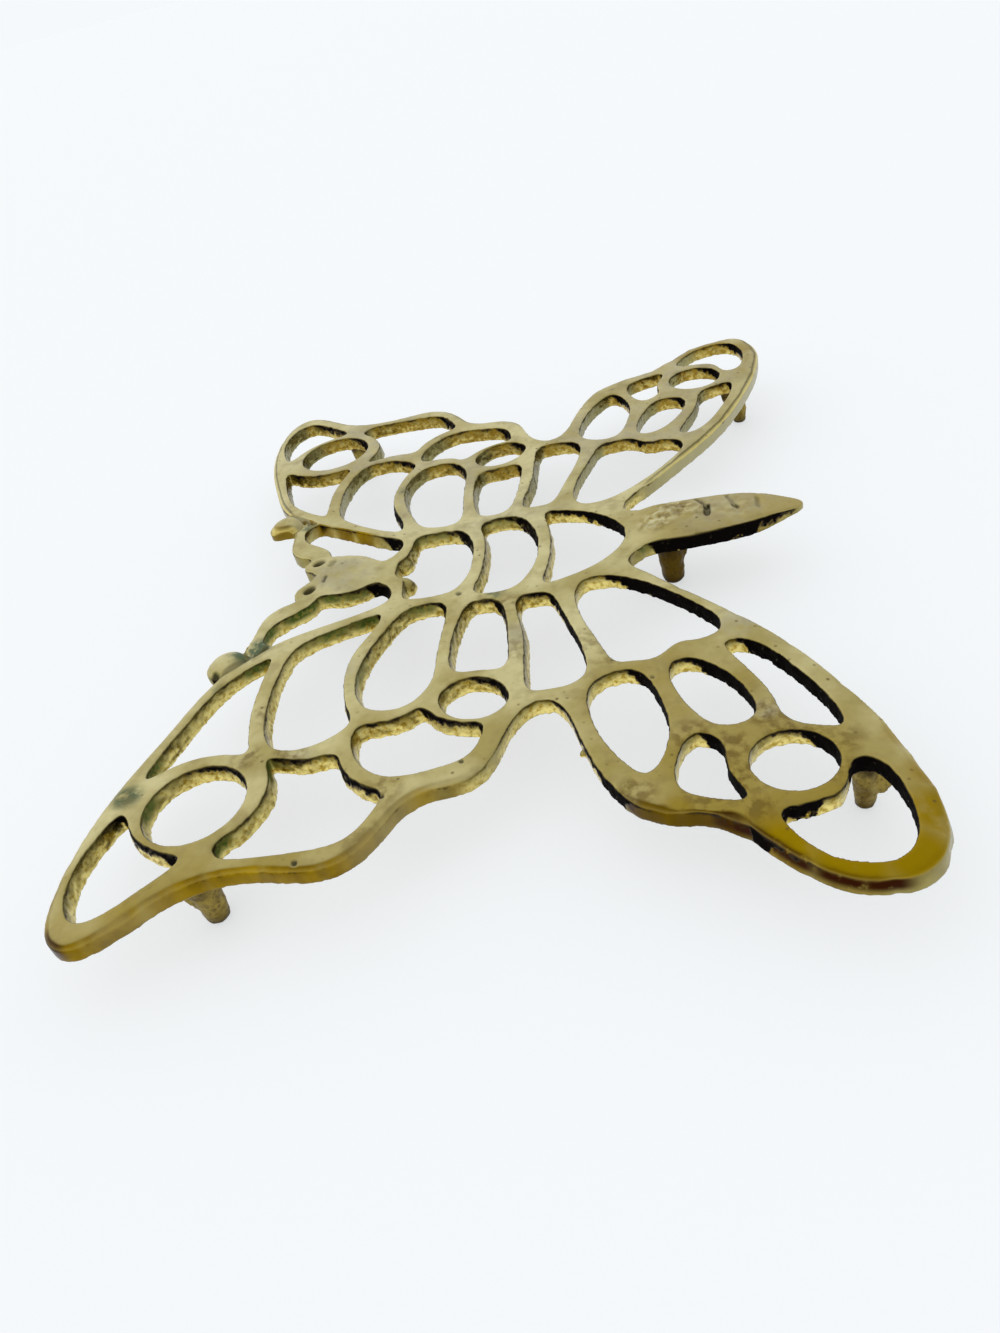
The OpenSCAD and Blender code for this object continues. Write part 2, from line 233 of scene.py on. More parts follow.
# places in mm where the rim slopes outward, rubbed to a mustard gold: centre, radius and strength
RUBBED = [
    (-101, -40, 3, 0.5), (-107, -49, 4, 0.8), (-112, -57, 7, 1), (-118, -67, 8, 1), (-117, -78, 7, 1),
    (-108, -84, 6, 1), (-98, -86, 5, 0.9), (-88, -83, 4, 0.6), (-115, 62, 4, 0.4), (-111, 68, 4, 0.4),
    (113, -60, 6, 0.6), (118, -70, 7, 0.7), (110, -82, 6, 0.6),
]
SMOOTHED_SHARE = 0.9
GROUND_DEPTH = 0.6 * MM
UNDERSIDE_ROUGHNESS = 0.5
SAND_LUMP = 2.2 * MM
SAND_LUMP_HEIGHT = 0.55 * MM
SAND_GRAIN = 0.9 * MM
SAND_GRAIN_HEIGHT = 0.12 * MM
RAGGED_LENGTH = 1.6 * MM
RAGGED_HEIGHT = 0.9 * MM
RAGGED_MIDDLE = 0.4
RAGGED_FULL = 0.5 * MM
RAGGED_END = 1.6 * MM
RAGGED_RIM_LOSS = 0.7
RAGGED_FAR_LOSS = 0.45
GRINDING_WAVE = 13 * MM
GRINDING_WAVE_HEIGHT = 0.1 * MM
CRATER = 1.7 * MM
CRATER_HEIGHT = 1.2 * MM
# the crust on the abdomen, painted with shade in its pits and highlights on its bumps: centre and radius in
# mm, and strength
CRATERED = [(0, -44, 5, 1), (4, -49, 5, 1), (2, -56, 5, 0.5), (0, -64, 6, 0.3)]
# the knob of an antenna in mm: its centre and radius, and where its cut from the wing runs
KNOB = (34.6, 66.4)
KNOB_RADIUS = 4.6
KNOB_FALL = 1.5 * MM
KNOB_FALL_REACH = 1.2
KNOB_FALL_END = (1.1, 1.5)
KNOB_FALL_STEP = (0, 1 * MM)
KNOB_LIFT = 1.2 * MM
KNOB_LIFT_END = (0.9, 1.7)
KNOB_LIFT_STEP = (-0.5 * MM, 1 * MM)
KNOB_JOINT = (30.5, 55.6)
KNOB_LINE = radians(48)
DENT_SLOPE = (0.2, 1.0)
DENT_FILLING = (0.4, 1.05)
# pits and engraved lines: both ends, half width and depth in mm, and how dark they are filled
DENTS = [
    (-17.5, 8.0, -17.3, 8.2, 1.0, 0.5, 0.7),
    (-81.0, 2.0, -80.8, 2.2, 0.7, 0.4, 0.8),
    (-88.5, 18.0, -88.3, 18.0, 0.7, 0.4, 0.9),
    (-84.0, -46.5, -83.6, -46.7, 0.7, 0.4, 0.7),
    (-62.0, -38.5, -61.8, -38.3, 0.6, 0.4, 0.6),
    (40.0, 21.0, 40.2, 21.2, 0.7, 0.4, 0.7),
    (66.0, -34.0, 66.2, -34.0, 0.7, 0.4, 0.7),
    (91.0, 55.0, 91.1, 55.2, 0.7, 0.4, 0.7),
    (-103.9, 33.3, -103.7, 33.4, 0.8, 0.4, 0.9),
    (-6.9, 50.6, -6.3, 50.2, 2.0, 1.1, 0.7),
    (6.9, 50.6, 7.4, 50.2, 2.0, 1.1, 0.7),
    (0.3, 54.5, 0.5, 50.8, 1.0, 3.0, 1.0),
    (-3.6, 46.9, -1.2, 46.7, 0.7, 0.4, 0.7),
    (4.8, 46.4, 6.6, 46.0, 1.3, 0.4, 0.4),
    (7.2, -55.0, 2.5, -57.3, 0.7, 0.5, 0.55),
    (2.5, -57.3, -1.2, -56.9, 1.2, 0.6, 0.75),
    (6.3, -62.8, 0.4, -64.1, 0.8, 0.5, 0.35),
    (0.8, -64.0, -0.3, -64.4, 1.1, 0.5, 0.55),
    (2.9, -70.0, -1.4, -69.6, 0.9, 0.4, 0.3),
    (-39.2, 68.9, -39.6, 68.3, 1.3, 0.4, 0.95),
    (-29.2, 63.4, -32.2, 59.6, 2.4, 0.8, 0.0),
    (29.2, 63.4, 32.2, 59.6, 2.4, 0.8, 0.0),
    (-31.2, 56.8, -40.2, 66.8, 1.0, 0.7, 0.5),
    (31.2, 56.8, 40.2, 66.8, 1.0, 0.7, 0.4),
]


def points_of(piece):
    """Places of all points of a piece."""
    flat = np.empty(len(piece.data.vertices) * 3, np.float32)
    piece.data.vertices.foreach_get("co", flat)
    return flat.reshape(-1, 3)


def normals_of(piece):
    """Directions in which the points of a piece face."""
    flat = np.empty(len(piece.data.vertices) * 3, np.float32)
    piece.data.vertices.foreach_get("normal", flat)
    return flat.reshape(-1, 3)


def fade(value, start, end):
    """Smooth step from 0 at start to 1 at end."""
    share = np.clip((value - start) / (end - start), 0, 1)
    return share * share * (3 - 2 * share)


def grown(field, corners):
    """A field of squares with one more square on each side, and at its corners too if asked."""
    rows = field.copy()
    rows[1:] |= field[:-1]
    rows[:-1] |= field[1:]
    base = rows if corners else field
    wider = rows.copy()
    wider[:, 1:] |= base[:, :-1]
    wider[:, :-1] |= base[:, 1:]
    return wider


def softened(field, passes):
    """A field of squares, each evened out with its neighbours a few times."""
    soft = field.astype(np.float32)
    for _ in range(passes):
        soft[1:-1] = (soft[:-2] + soft[1:-1] + soft[2:]) / 3
        soft[:, 1:-1] = (soft[:, :-2] + soft[:, 1:-1] + soft[:, 2:]) / 3
    return soft


def on_plan(field):
    """Values of a field of squares at the points of the casting."""
    at = (skin[:, :2] - plan_low) / PLAN_SQUARE - 0.5
    i, j = np.floor(at).astype(int).T
    u, v = (at - np.floor(at)).T
    return ((1 - u) * (1 - v) * field[i, j] + u * (1 - v) * field[i + 1, j]
            + (1 - u) * v * field[i, j + 1] + u * v * field[i + 1, j + 1])


def blotches(spots):
    """How strongly each point of the casting lies in any of some round spots: x, y, radius, strength."""
    amount = np.zeros(len(skin), np.float32)
    for x, y, radius, strength in spots:
        away = np.hypot(skin[:, 0] - x * MM, skin[:, 1] - y * MM) / (radius * MM)
        amount = np.maximum(amount, strength * (1 - fade(away, *BLOTCH_EDGE)))
    return amount


def weigh(piece, group_name, weights):
    """Writes a vertex group from weights between 0 and 1, in a few steps."""
    group = piece.vertex_groups.new(name=group_name)
    steps = np.rint(weights * WEIGHT_STEPS).astype(int)
    for step in range(1, WEIGHT_STEPS + 1):
        group.add(np.flatnonzero(steps == step).tolist(), step / WEIGHT_STEPS, "REPLACE")


skin = points_of(casting)
plan_low = skin[:, :2].min(0) - PLAN_MARGIN * PLAN_SQUARE
plan_size = ((skin[:, :2].max(0) - plan_low) / PLAN_SQUARE).astype(int) + PLAN_MARGIN
metal = np.zeros(plan_size, bool)
plate_points = skin[skin[:, 2] > PLATE_UNDERSIDE - PLAN_SLACK]
metal[tuple(((plate_points[:, :2] - plan_low) / PLAN_SQUARE).astype(int).T)] = True
outside = np.zeros(plan_size, bool)
outside[0] = True
while True:
    spread = grown(outside, False) & ~metal
    if (spread == outside).all():
        break
    outside = spread
rim_plan = outside.astype(np.float32)
reached = outside
for depth in range(1, RIM_REACH):
    wider = grown(reached, depth % 2 == 1)
    rim_plan[wider & ~reached] = 1 - depth / RIM_REACH
    reached = wider
rim = on_plan(softened(rim_plan, RIM_BLUR_PASSES))
rim_edge = fade(rim, *RIM_NEAR)
on_plate = skin[:, 2] > PLATE_UNDERSIDE - RIM_ROOM
from_rim = (1 - rim) * RIM_REACH * PLAN_SQUARE - PLAN_SQUARE / 2
crisp = blotches([(side * x, y, radius, 1) for x, y, radius in CRISP_RIM for side in (-1, 1)])
crisp *= 1 - blotches(FAR_BEVEL)
rubbed = blotches(RUBBED)
rough_rim = blotches(ROUGH_RIM)
rim_edge *= 1 - rough_rim
smooth_wall = blotches(SMOOTH_WALLS)
on_tail = (np.abs(skin[:, 0]) < TAIL_HALF) * fade(-skin[:, 1], *TAIL_FROM)
lift = HEAD_LIFT * fade(skin[:, 1], *HEAD_ALONG) * (1 - fade(np.abs(skin[:, 0]), *HEAD_ACROSS))
lift += TAIL_LIFT * fade(-skin[:, 1], *TAIL_ALONG) * (1 - fade(np.abs(skin[:, 0]), *TAIL_ACROSS))
rise = np.clip((skin[:, 2] - PLATE_UNDERSIDE) / (PLATE_TOP - PLATE_UNDERSIDE), 0, RISE_LIMIT)
fall = CHAMFER_FALL * (1 - CRISP_SHARE * crisp)
fall = fall * (1 - np.clip(from_rim / CHAMFER_WIDTH, 0, 1)) ** CHAMFER_CURVE
fall += SLOPE_FALL * rubbed * (1 - np.clip(from_rim / SLOPE_WIDTH, 0, 1)) ** SLOPE_CURVE
for side in (-1, 1):
    x = side * skin[:, 0]
    away = np.hypot(x - KNOB[0] * MM, skin[:, 1] - KNOB[1] * MM) / (KNOB_RADIUS * MM)
    ahead = (skin[:, 1] - KNOB_JOINT[1] * MM) * cos(KNOB_LINE) - (x - KNOB_JOINT[0] * MM) * sin(KNOB_LINE)
    dome = KNOB_FALL * np.clip(away, 0, KNOB_FALL_REACH) ** 2
    fall += dome * (1 - fade(away, *KNOB_FALL_END)) * fade(ahead, *KNOB_FALL_STEP)
    lift += KNOB_LIFT * (1 - fade(away, *KNOB_LIFT_END)) * fade(ahead, *KNOB_LIFT_STEP)
drafted = fade(skin[:, 1], *DRAFT_ALONG) * (1 - np.clip(lift / HEAD_LIFT, 0, 1))
drafted *= (1 - fade(rim, *DRAFT_RIM)) * fade(skin[:, 2], PLATE_UNDERSIDE - DRAFT_ROOM, PLATE_UNDERSIDE)
drafted *= DRAFT * (2 * np.clip(rise, 0, 1) - 1)
lean = [on_plan(slope) / DRAFT_STEEPNESS for slope in np.gradient(softened(metal, DRAFT_PASSES))]
facing = normals_of(casting)
flare = FLARE * rubbed * fade(rim, *FLARE_RIM) * (1 - rise) * (skin[:, 2] > PLATE_UNDERSIDE - FLARE_ROOM)
skin[:, :2] += facing[:, :2] * flare[:, None] + drafted[:, None] * np.stack(lean, 1)
tip = on_tail * fade(-skin[:, 1], *TAIL_TIP)
ridge = np.maximum(skin[:, 2] - PLATE_TOP, 0) * (np.abs(skin[:, 0]) < TAIL_HALF) * (skin[:, 1] < 0)
skin[:, 2] -= ridge * (1 - fade(-skin[:, 1], *RIDGE_FROM))
skin[:, 2] -= fall * rise
skin[:, 2] += TAIL_TIP_FLATNESS * tip * (TAIL_TIP_HEIGHT - skin[:, 2])
skin[:, 0] *= 1 - TAIL_TIP_NARROWING * tip
skin[:, 2] += lift * np.clip(skin[:, 2] / PLATE_UNDERSIDE, 0, 1)
casting.data.vertices.foreach_set("co", skin.ravel())
casting.data.update()
weigh(casting, "rim_edge", rim_edge * on_plate * (1 - CRISP_UNBUFFED * crisp))
work(casting, "SMOOTH", factor=SMOOTHING, iterations=RIM_PASSES, vertex_group="rim_edge")

skin = points_of(casting)
facing = normals_of(casting)
up = fade(facing[:, 2], *FACES_UP)
level_z = skin[:, 2] - lift
steep = 1 - fade(np.abs(facing[:, 2]), *FACES_LEVEL)
below = fade(-facing[:, 2], *FACES_UP)
as_cast = steep * (1 - SMOOTHED_SHARE * np.maximum(rim_edge, smooth_wall))
as_cast *= 1 - fade(level_z, PLATE_TOP - GROUND_DEPTH, PLATE_TOP)
far_side = fade(skin[:, 0], *FAR_SIDE)
low_edge = on_plate * np.maximum(steep, below) * (1 - RAGGED_RIM_LOSS * rim_edge)
low_edge = low_edge * (1 - fade(level_z, PLATE_UNDERSIDE + RAGGED_FULL, PLATE_UNDERSIDE + RAGGED_END))
low_edge *= 1 - RAGGED_FAR_LOSS * far_side
weigh(casting, "as_cast", np.maximum(as_cast, UNDERSIDE_ROUGHNESS * below))
weigh(casting, "low_edge", low_edge)
weigh(casting, "ground_top", up)
weigh(casting, "cratered", up * blotches(CRATERED))
sand_lumps = bpy.data.textures.new("sand_lumps", "CLOUDS")
sand_lumps.noise_scale = SAND_LUMP
sand_grains = bpy.data.textures.new("sand_grains", "CLOUDS")
sand_grains.noise_scale = SAND_GRAIN
ragged_edge = bpy.data.textures.new("ragged_edge", "CLOUDS")
ragged_edge.noise_scale = RAGGED_LENGTH
hand_grinding = bpy.data.textures.new("hand_grinding", "CLOUDS")
hand_grinding.noise_scale = GRINDING_WAVE
craters = bpy.data.textures.new("craters", "CLOUDS")
craters.noise_scale = CRATER
work(casting, "DISPLACE", texture=craters, strength=CRATER_HEIGHT, vertex_group="cratered")
work(casting, "DISPLACE", texture=sand_lumps, strength=SAND_LUMP_HEIGHT, vertex_group="as_cast")
work(casting, "DISPLACE", texture=sand_grains, strength=SAND_GRAIN_HEIGHT, vertex_group="as_cast")
work(casting, "DISPLACE", texture=ragged_edge, strength=RAGGED_HEIGHT, vertex_group="low_edge",
     direction="Z", mid_level=RAGGED_MIDDLE)
work(casting, "DISPLACE", texture=hand_grinding, strength=GRINDING_WAVE_HEIGHT, vertex_group="ground_top",
     direction="Z")
skin = points_of(casting)
filled = np.zeros(len(skin))
for x0, y0, x1, y1, half_width, depth, darkness in DENTS:
    run = np.array((x1 - x0, y1 - y0)) * MM
    from_start = skin[:, :2] - np.array((x0, y0)) * MM
    along = np.clip(from_start @ run / (run @ run), 0, 1)
    away = np.linalg.norm(from_start - along[:, None] * run, axis=1) / (half_width * MM)
    skin[:, 2] -= depth * MM * (1 - fade(away, *DENT_SLOPE)) * up
    filled = np.maximum(filled, darkness * (1 - fade(away, *DENT_FILLING)))
skin[:, 2] = np.maximum(skin[:, 2], 0)
casting.data.vertices.foreach_set("co", skin.ravel())
casting.data.update()
pick(casting)
bpy.ops.object.vertex_group_remove(all=True)


# Age of the casting: black casting skin is left under the top edges, deepest on the walls that face the head,
# where the wire wheel did not reach. Verdigris sits in the corners by the body, and one rim is stained red.
# Some marks are painted light: shade on the walls turned away from the head and on the far walls, a highlight
# along the rim's edge, and darker and greyer reflections on parts of the tops.
SKIN_UNIT = 5 * MM
# how far a wall turns to the head, and how deep in mm the skin then is
SKIN_TURNS = (-0.8, -0.25, 0.1, 0.4, 0.65, 0.8)
SKIN_DEPTHS = (0.05, 0.35, 0.75, 1.6, 3.8, 6.0)
NEAR_FORE_DEPTHS = (0.05, 0.4, 1.1, 1.4, 1.9, 3.0)
NEAR_FORE_ALONG = (-28 * MM, -14 * MM)
NEAR_FORE_ACROSS = (8 * MM, 20 * MM)
NEAR_FORE_LOSS = 0.5
LEAST_LEVEL = 0.05
RIM_SKIN = 0.3
FAR_SKIN = 0.45
GREEN_LOSS = 0.8
BLACKENED_DEPTH = 5 * MM
RIM_WALL = (0.52, 0.62)
# a painted gold highlight and a dark line along the rim's edge: where on the rim, and how strong near and far
EDGE_LINE_RIM = (0.6, 0.72)
EDGE_LINE_NEAR = 0.12
EDGE_LINE_FAR = 0.7
# painted light on walls turned away from the head: how far they turn, and its strength near and far
SIDE_LIGHT_TURN = (0.3, 0.85)
SIDE_LIGHT_NEAR = 0.3
SIDE_LIGHT_FAR = 0.5
GREEN_RISE = (13.2 * MM, 15.2 * MM)
RED_RISE = (13 * MM, 14.6 * MM)
# places of the marks in mm: centre, radius and strength
BLACKENED = [
    (-94, -74, 4, 1), (-99, -77, 3, 1), (-103, -62, 3.5, 0.8), (-105, -57, 3, 0.8),
    (-108, -55, 2.5, 0.8), (-9.5, -46, 4, 0.9), (-9.5, -52, 5, 1.1), (-9, -58, 5, 1.0),
    (-7.5, -65, 5, 0.9), (-6, -71, 4, 0.4), (-4, -76, 4, 0.22), (-21, -38, 4, 0.6),
    (-29, -45, 5, 0.8), (-36, -49, 4, 0.7), (-7, 31, 3, 1), (-40.5, 69, 1.8, 1), (-23, 28, 2, 1),
    (-21.5, 10, 2.5, 1), (-85, 77, 2.5, 0.8), (-99.5, 62.5, 2.5, 0.8), (17.5, 29, 3, 1),
    (-86, -30, 3, 0.4), (-92, -30, 2, 0.5),
]
CLEANED = [
    (-70, -19, 9, 0.6), (-82, -24, 9, 0.6), (-62, -14, 6, 0.5), (33, 58, 6, 1), (28, 48, 7, 1),
    (22, 38, 7, 1), (30, 64, 9, 0.9), (16, 54, 8, 0.9), (-33, 66, 7, 0.8), (0, 48, 12, 0.7),
]
GREENED = [
    (-24, 31, 5, 1), (-24, 42, 6, 0.9), (-26, 50, 6, 0.9), (-20, 18, 4, 0.8), (-30, 55, 5, 0.8),
    (-15, 51, 6, 1), (-25, 58, 5, 0.9), (-10, 37, 5, 0.8), (-38, 58, 4, 0.9), (-83, 71, 4, 0.9),
    (-96, 52, 3.5, 1), (-75.5, 46, 4, 0.9), (-70.5, 75, 4, 0.9), (-34.5, 57, 4, 0.9),
    (-44, 31, 5, 0.5), (-52, 20, 5, 0.4), (17, -5, 9, 0.5), (17, 20, 9, 0.5), (-17, -41, 3, 0.9),
    (-12, -41, 3.5, 1), (-37, 69, 3.5, 0.8), (-5, 38, 5, 1), (-8, 44, 4, 0.9),
]
VERDIGRIS = [
    (-30, 58.5, 3.5, 1), (-32.5, 62, 3.8, 1), (-79, 78, 3.6, 1), (-20, -2, 2.5, 0.6),
    (30, 58.5, 2.5, 0.8), (-45.5, 65.5, 2, 0.4), (46, 30, 3, 0.5), (47, 22, 2.5, 0.5),
]
REDDENED = [
    (-96, -31, 3, 0.9), (-103, -49, 3, 0.8), (-106, -52, 4, 1), (-109, -55, 4, 1), (-114, -58, 5, 1),
    (-120, -65, 6, 1), (-122, -72, 5, 1), (-118, 80, 4, 0.8),
]
BROWNED = [
    (0, -46.5, 8, 1), (-6, -69, 5, 0.7), (-99, -35, 6, 0.8), (-101, -42, 6, 0.8), (-105, -49, 5, 0.8),
    (-119, 82, 5, 0.6),
]
FILED = [
    (-85, 0, 7, 0.5), (-92, 12, 8, 0.8), (-101, 23, 9, 1), (-104, 34, 9, 1), (-103, 46, 9, 1),
    (-106, 58, 9, 1), (-113, 70, 9, 1), (-118, 79, 9, 1), (-108, 82, 6, 0.7), (-97, -30, 5, 0.6),
    (-101, -36, 6, 1), (-104, -46, 7, 1), (-111, -56, 8, 0.8), (-120, -66, 7, 0.5), (40, 62, 7, 0.5),
    (33, 66, 6, 0.8), (22, 56, 6, 0.6), (92, 12, 10, 0.4), (103, 30, 12, 0.4), (106, 58, 12, 0.4),
    (115, 75, 10, 0.4), (33, 57, 9, 1), (25, 43, 9, 1),
]
# tops darker and more golden: partly the brass's own tone, partly a painted darker reflection of the room,
# mostly at the near wing ends
GOLD_AND_DARK_REFLECTION = [
    (-72, -42, 26, 0.6), (-95, -55, 28, 0.8), (-108, -66, 22, 0.9), (-100, 30, 24, 0.55),
    (-112, 66, 24, 0.6), (-70, 10, 22, 0.25), (70, -45, 30, 0.35), (100, -65, 25, 0.4),
    (0, -55, 18, 0.6), (0, -72, 14, 0.7), (85, -50, 25, 0.2), (70, 40, 40, 0.25), (-60, 40, 45, 0.1),
]
# greyer tops: small grey patches of the brass, and broad ones on the far side that are a painted greyer
# reflection
GREY_AND_REFLECTION = [
    (-75, 39, 5, 0.7), (-43, 33, 4, 0.6), (-40, -8, 6, 0.8), (-46.6, -57.8, 5, 0.9),
    (-76.6, -60, 3, 0.8), (-97, 8, 6, 0.7), (0, 42, 9, 0.9), (45, 20, 25, 0.6), (60, -40, 25, 0.7),
    (95, -62, 20, 0.6), (85, 50, 25, 0.8), (20, -5, 18, 0.4), (112, -50, 14, 0.7), (0, -60, 14, 0.5),
]
STAINED = [
    (-53, -29, 4, 0.5), (-78, -59.5, 4, 0.9), (-82, -62, 4, 0.8), (-82, -45, 5, 0.8),
    (-86, -51, 5, 0.9), (-94.5, -53.5, 5, 0.8), (-87, -66, 5, 0.7), (-88, -72.5, 4, 0.6),
    (-99, -46, 5, 0.7), (-95.5, -33, 4, 0.8), (-96, -70, 4, 0.6), (-103, -54.5, 4, 0.8),
    (-70.5, 41.5, 4, 0.8), (-71, 52, 3.5, 0.8), (-101, 18.5, 6, 0.6), (-86.5, 18, 4, 0.7),
    (-57, 51.5, 3.5, 0.6), (-25, -5.5, 4, 0.7), (-45, -8, 5, 0.5), (-20, 0.5, 3.5, 0.5),
    (-46, -24, 5, 0.5),
]

level = np.maximum(np.hypot(facing[:, 0], facing[:, 1]), LEAST_LEVEL)
near_fore = fade(skin[:, 1], *NEAR_FORE_ALONG) * fade(-skin[:, 0], *NEAR_FORE_ACROSS)
skin_depth = np.interp(facing[:, 1] / level, SKIN_TURNS, SKIN_DEPTHS) * MM * (1 - near_fore)
skin_depth += np.interp(facing[:, 1] / level, SKIN_TURNS, NEAR_FORE_DEPTHS) * MM * near_fore
skin_depth *= 1 - (1 - RIM_SKIN) * rim_edge
skin_depth *= 1 - (1 - FAR_SKIN) * far_side
skin_depth *= 1 - blotches(CLEANED)
skin_depth *= 1 - GREEN_LOSS * blotches(GREENED)
skin_depth += BLACKENED_DEPTH * blotches(BLACKENED) * (1 - NEAR_FORE_LOSS * near_fore)
rim_wall = np.maximum(fade(rim, *RIM_WALL) * (1 - on_tail) * (1 - rough_rim), smooth_wall)
marks = {
    "rim_wall": rim_wall,
    "filed": rim_wall * blotches(FILED),
    "rubbed": rubbed,
    # painted highlight and dark line along the rim's edge
    "rim_highlight_and_line": (EDGE_LINE_NEAR + EDGE_LINE_FAR * far_side) * rim_wall * fade(rim, *EDGE_LINE_RIM),
    "cratered": blotches(CRATERED),
    # partly painted reflection: darker, more golden tops
    "gold_and_dark_reflection": blotches(GOLD_AND_DARK_REFLECTION),
    "casting_skin": skin_depth / SKIN_UNIT,
    "greened": blotches(GREENED) * fade(level_z, *GREEN_RISE),
    "lift": lift / SKIN_UNIT,
    "browned": blotches(BROWNED),
    # painted light on walls turned away from the head
    "side_light": fade(-facing[:, 1] / level, *SIDE_LIGHT_TURN) * (SIDE_LIGHT_NEAR + SIDE_LIGHT_FAR * far_side),
    "verdigris": blotches(VERDIGRIS),
    "reddened": blotches(REDDENED) * fade(level_z, *RED_RISE),
    # partly painted reflection: greyer tops on the far side
    "grey_and_reflection": blotches(GREY_AND_REFLECTION),
    "stained": blotches(STAINED),
    # painted shade on the far walls
    "far_wall_shade": far_side,
    "filled": filled,
    "known": np.ones(len(skin)),
}
for name, amount in marks.items():
    layer = casting.data.attributes.new(name, "FLOAT", "POINT")
    layer.data.foreach_set("value", amount.astype(np.float32))
nearest = KDTree(len(skin))
for index, point in enumerate(skin):
    nearest.insert(point, index)
nearest.balance()


# Brass of the plate: cast yellow brass, long unpolished. The ground top is a dull khaki gold with pits, the
# buffed rim a smooth mustard brown, and the sand-rough walls sparkle pale gold between black skin and green
# patina. Light is painted into the colour in places: olive shade under the walls' top edges, a gold highlight
# along the rim's edge, and shade and highlights on the abdomen's crust.
TOP_PALE = "#c7bd8b"
TOP_OLIVE = "#a79a61"
TOP_GOLD_DARK_REFLECTION = "#937e2e"
TOP_GREY_AND_REFLECTION = "#aba48a"
TOP_MUSTARD = "#917604"
STAIN_AND_PIT_SHADE_BROWN = "#867545"
STAIN_DARK = "#5e4612"
SPECK_BROWN = "#5e4b28"
CRATER_HIGHLIGHT_PALE = "#cdc59a"
DENT_DARK = "#33301f"
RIM_KHAKI = "#a3965a"
RIM_OLIVE = "#857842"
RIM_MUSTARD = "#94770c"
RIM_BROWN = "#745a0a"
RIM_DARK = "#523c06"
RIM_LINE = "#4c4404"
RIM_SIDE_GREY = "#aba57e"
STAIN_RED = "#341504"
EDGE_HIGHLIGHT_GOLD = "#d9c670"
EDGE_OLIVE = "#453a08"
WALL_GOLD = "#fbe890"
WALL_OCHRE = "#ba9d3c"
# the next three are painted shade on the walls: olive under the top edge, brown-gold on the far side, grey
# where they turn away from the head
WALL_SHADE_OLIVE = "#4e410a"
WALL_FAR_SHADE = "#9c7e2a"
WALL_SIDE_SHADE = "#85855c"
UNDERSIDE_BROWN = "#7a6836"
SKIN_BROWN = "#3a2c0c"
SKIN_BLACK = "#060302"
PATINA_GREEN = "#3d5408"
VERDIGRIS_GREEN = "#4f5f44"
# sizes of the clouds in mm that break up the colours
CLOUDS = {"broad": 14, "patch": 5, "blot": 2.2, "grit": 1.1, "grain": 0.6}
CLOUD_DETAIL = 3.0
SPECK_SPACING = 2.7 * MM
SPECK_RADIUS = 0.2
TOP_ROUGHNESS = 0.46
RIM_ROUGHNESS = 0.32
WALL_ROUGHNESS = 0.3
TARNISH_ROUGHNESS = 0.75
ROUGHNESS_SPREAD = 0.25
BRASS_SPECULAR = 0.5
TARNISH_SPECULAR = 0.03
GRAIN_HEIGHT = 0.12 * MM
WALL_GRAIN = 0.7
SMOOTH_GRAIN = 0.25
# the walls' painted olive shade: the height where it begins and is full, and how far it wanders
WALL_SHADE_FROM = 15.4 * MM
WALL_SHADE_FULL = 17.6 * MM
WALL_SHADE_WANDER = 2 * MM
SKIN_WANDER = 0.6 * MM
SKIN_FRAY = 1.6 * MM
SKIN_BLUR = 0.35 * MM
BROWN_LIMIT = PLATE_TOP + 0.4 * MM
BLACK_LIMIT = PLATE_TOP + 0.8 * MM


def linear(hex_colour):
    """sRGB hex colour as the linear values that a shader takes."""
    shares = [int(hex_colour[i:i + 2], 16) / 255 for i in (1, 3, 5)]
    return tuple(s / 12.92 if s <= 0.04045 else ((s + 0.055) / 1.055) ** 2.4 for s in shares) + (1,)


def add(tree, kind, inputs=(), output=0, **settings):
    """Adds one shader node with its settings and links, and gives one of its outputs."""
    made = tree.nodes.new("ShaderNode" + kind)
    for name, value in settings.items():
        setattr(made, name, value)
    for socket, value in dict(inputs).items():
        if isinstance(value, bpy.types.NodeSocket):
            tree.links.new(value, made.inputs[socket])
        else:
            made.inputs[socket].default_value = value
    return made.outputs[output]


plate_brass = bpy.data.materials.new("aged_cast_brass")
plate_brass.use_nodes = True
tree = plate_brass.node_tree
shader = tree.nodes["Principled BSDF"]
place = add(tree, "TexCoord", output="Object")
mark = {name: add(tree, "Attribute", output="Fac", attribute_name=name) for name in marks if name != "known"}
height = add(tree, "SeparateXYZ", {0: place}, "Z")
height = add(tree, "Math", {0: mark["lift"], 1: -SKIN_UNIT, 2: height}, operation="MULTIPLY_ADD")
normal_z = add(tree, "SeparateXYZ", {0: add(tree, "NewGeometry", output="Normal")}, "Z")
upward = add(tree, "MapRange", {0: normal_z, 1: 0.45, 2: 0.85}, interpolation_type="SMOOTHSTEP")
downward = add(tree, "MapRange", {0: normal_z, 1: -0.3, 2: -0.8, 4: 0.7})
cloud = {}
for name, size in CLOUDS.items():
    settings = {"Vector": place, "Scale": 1 / (size * MM), "Detail": CLOUD_DETAIL}
    cloud[name] = add(tree, "TexNoise", settings)

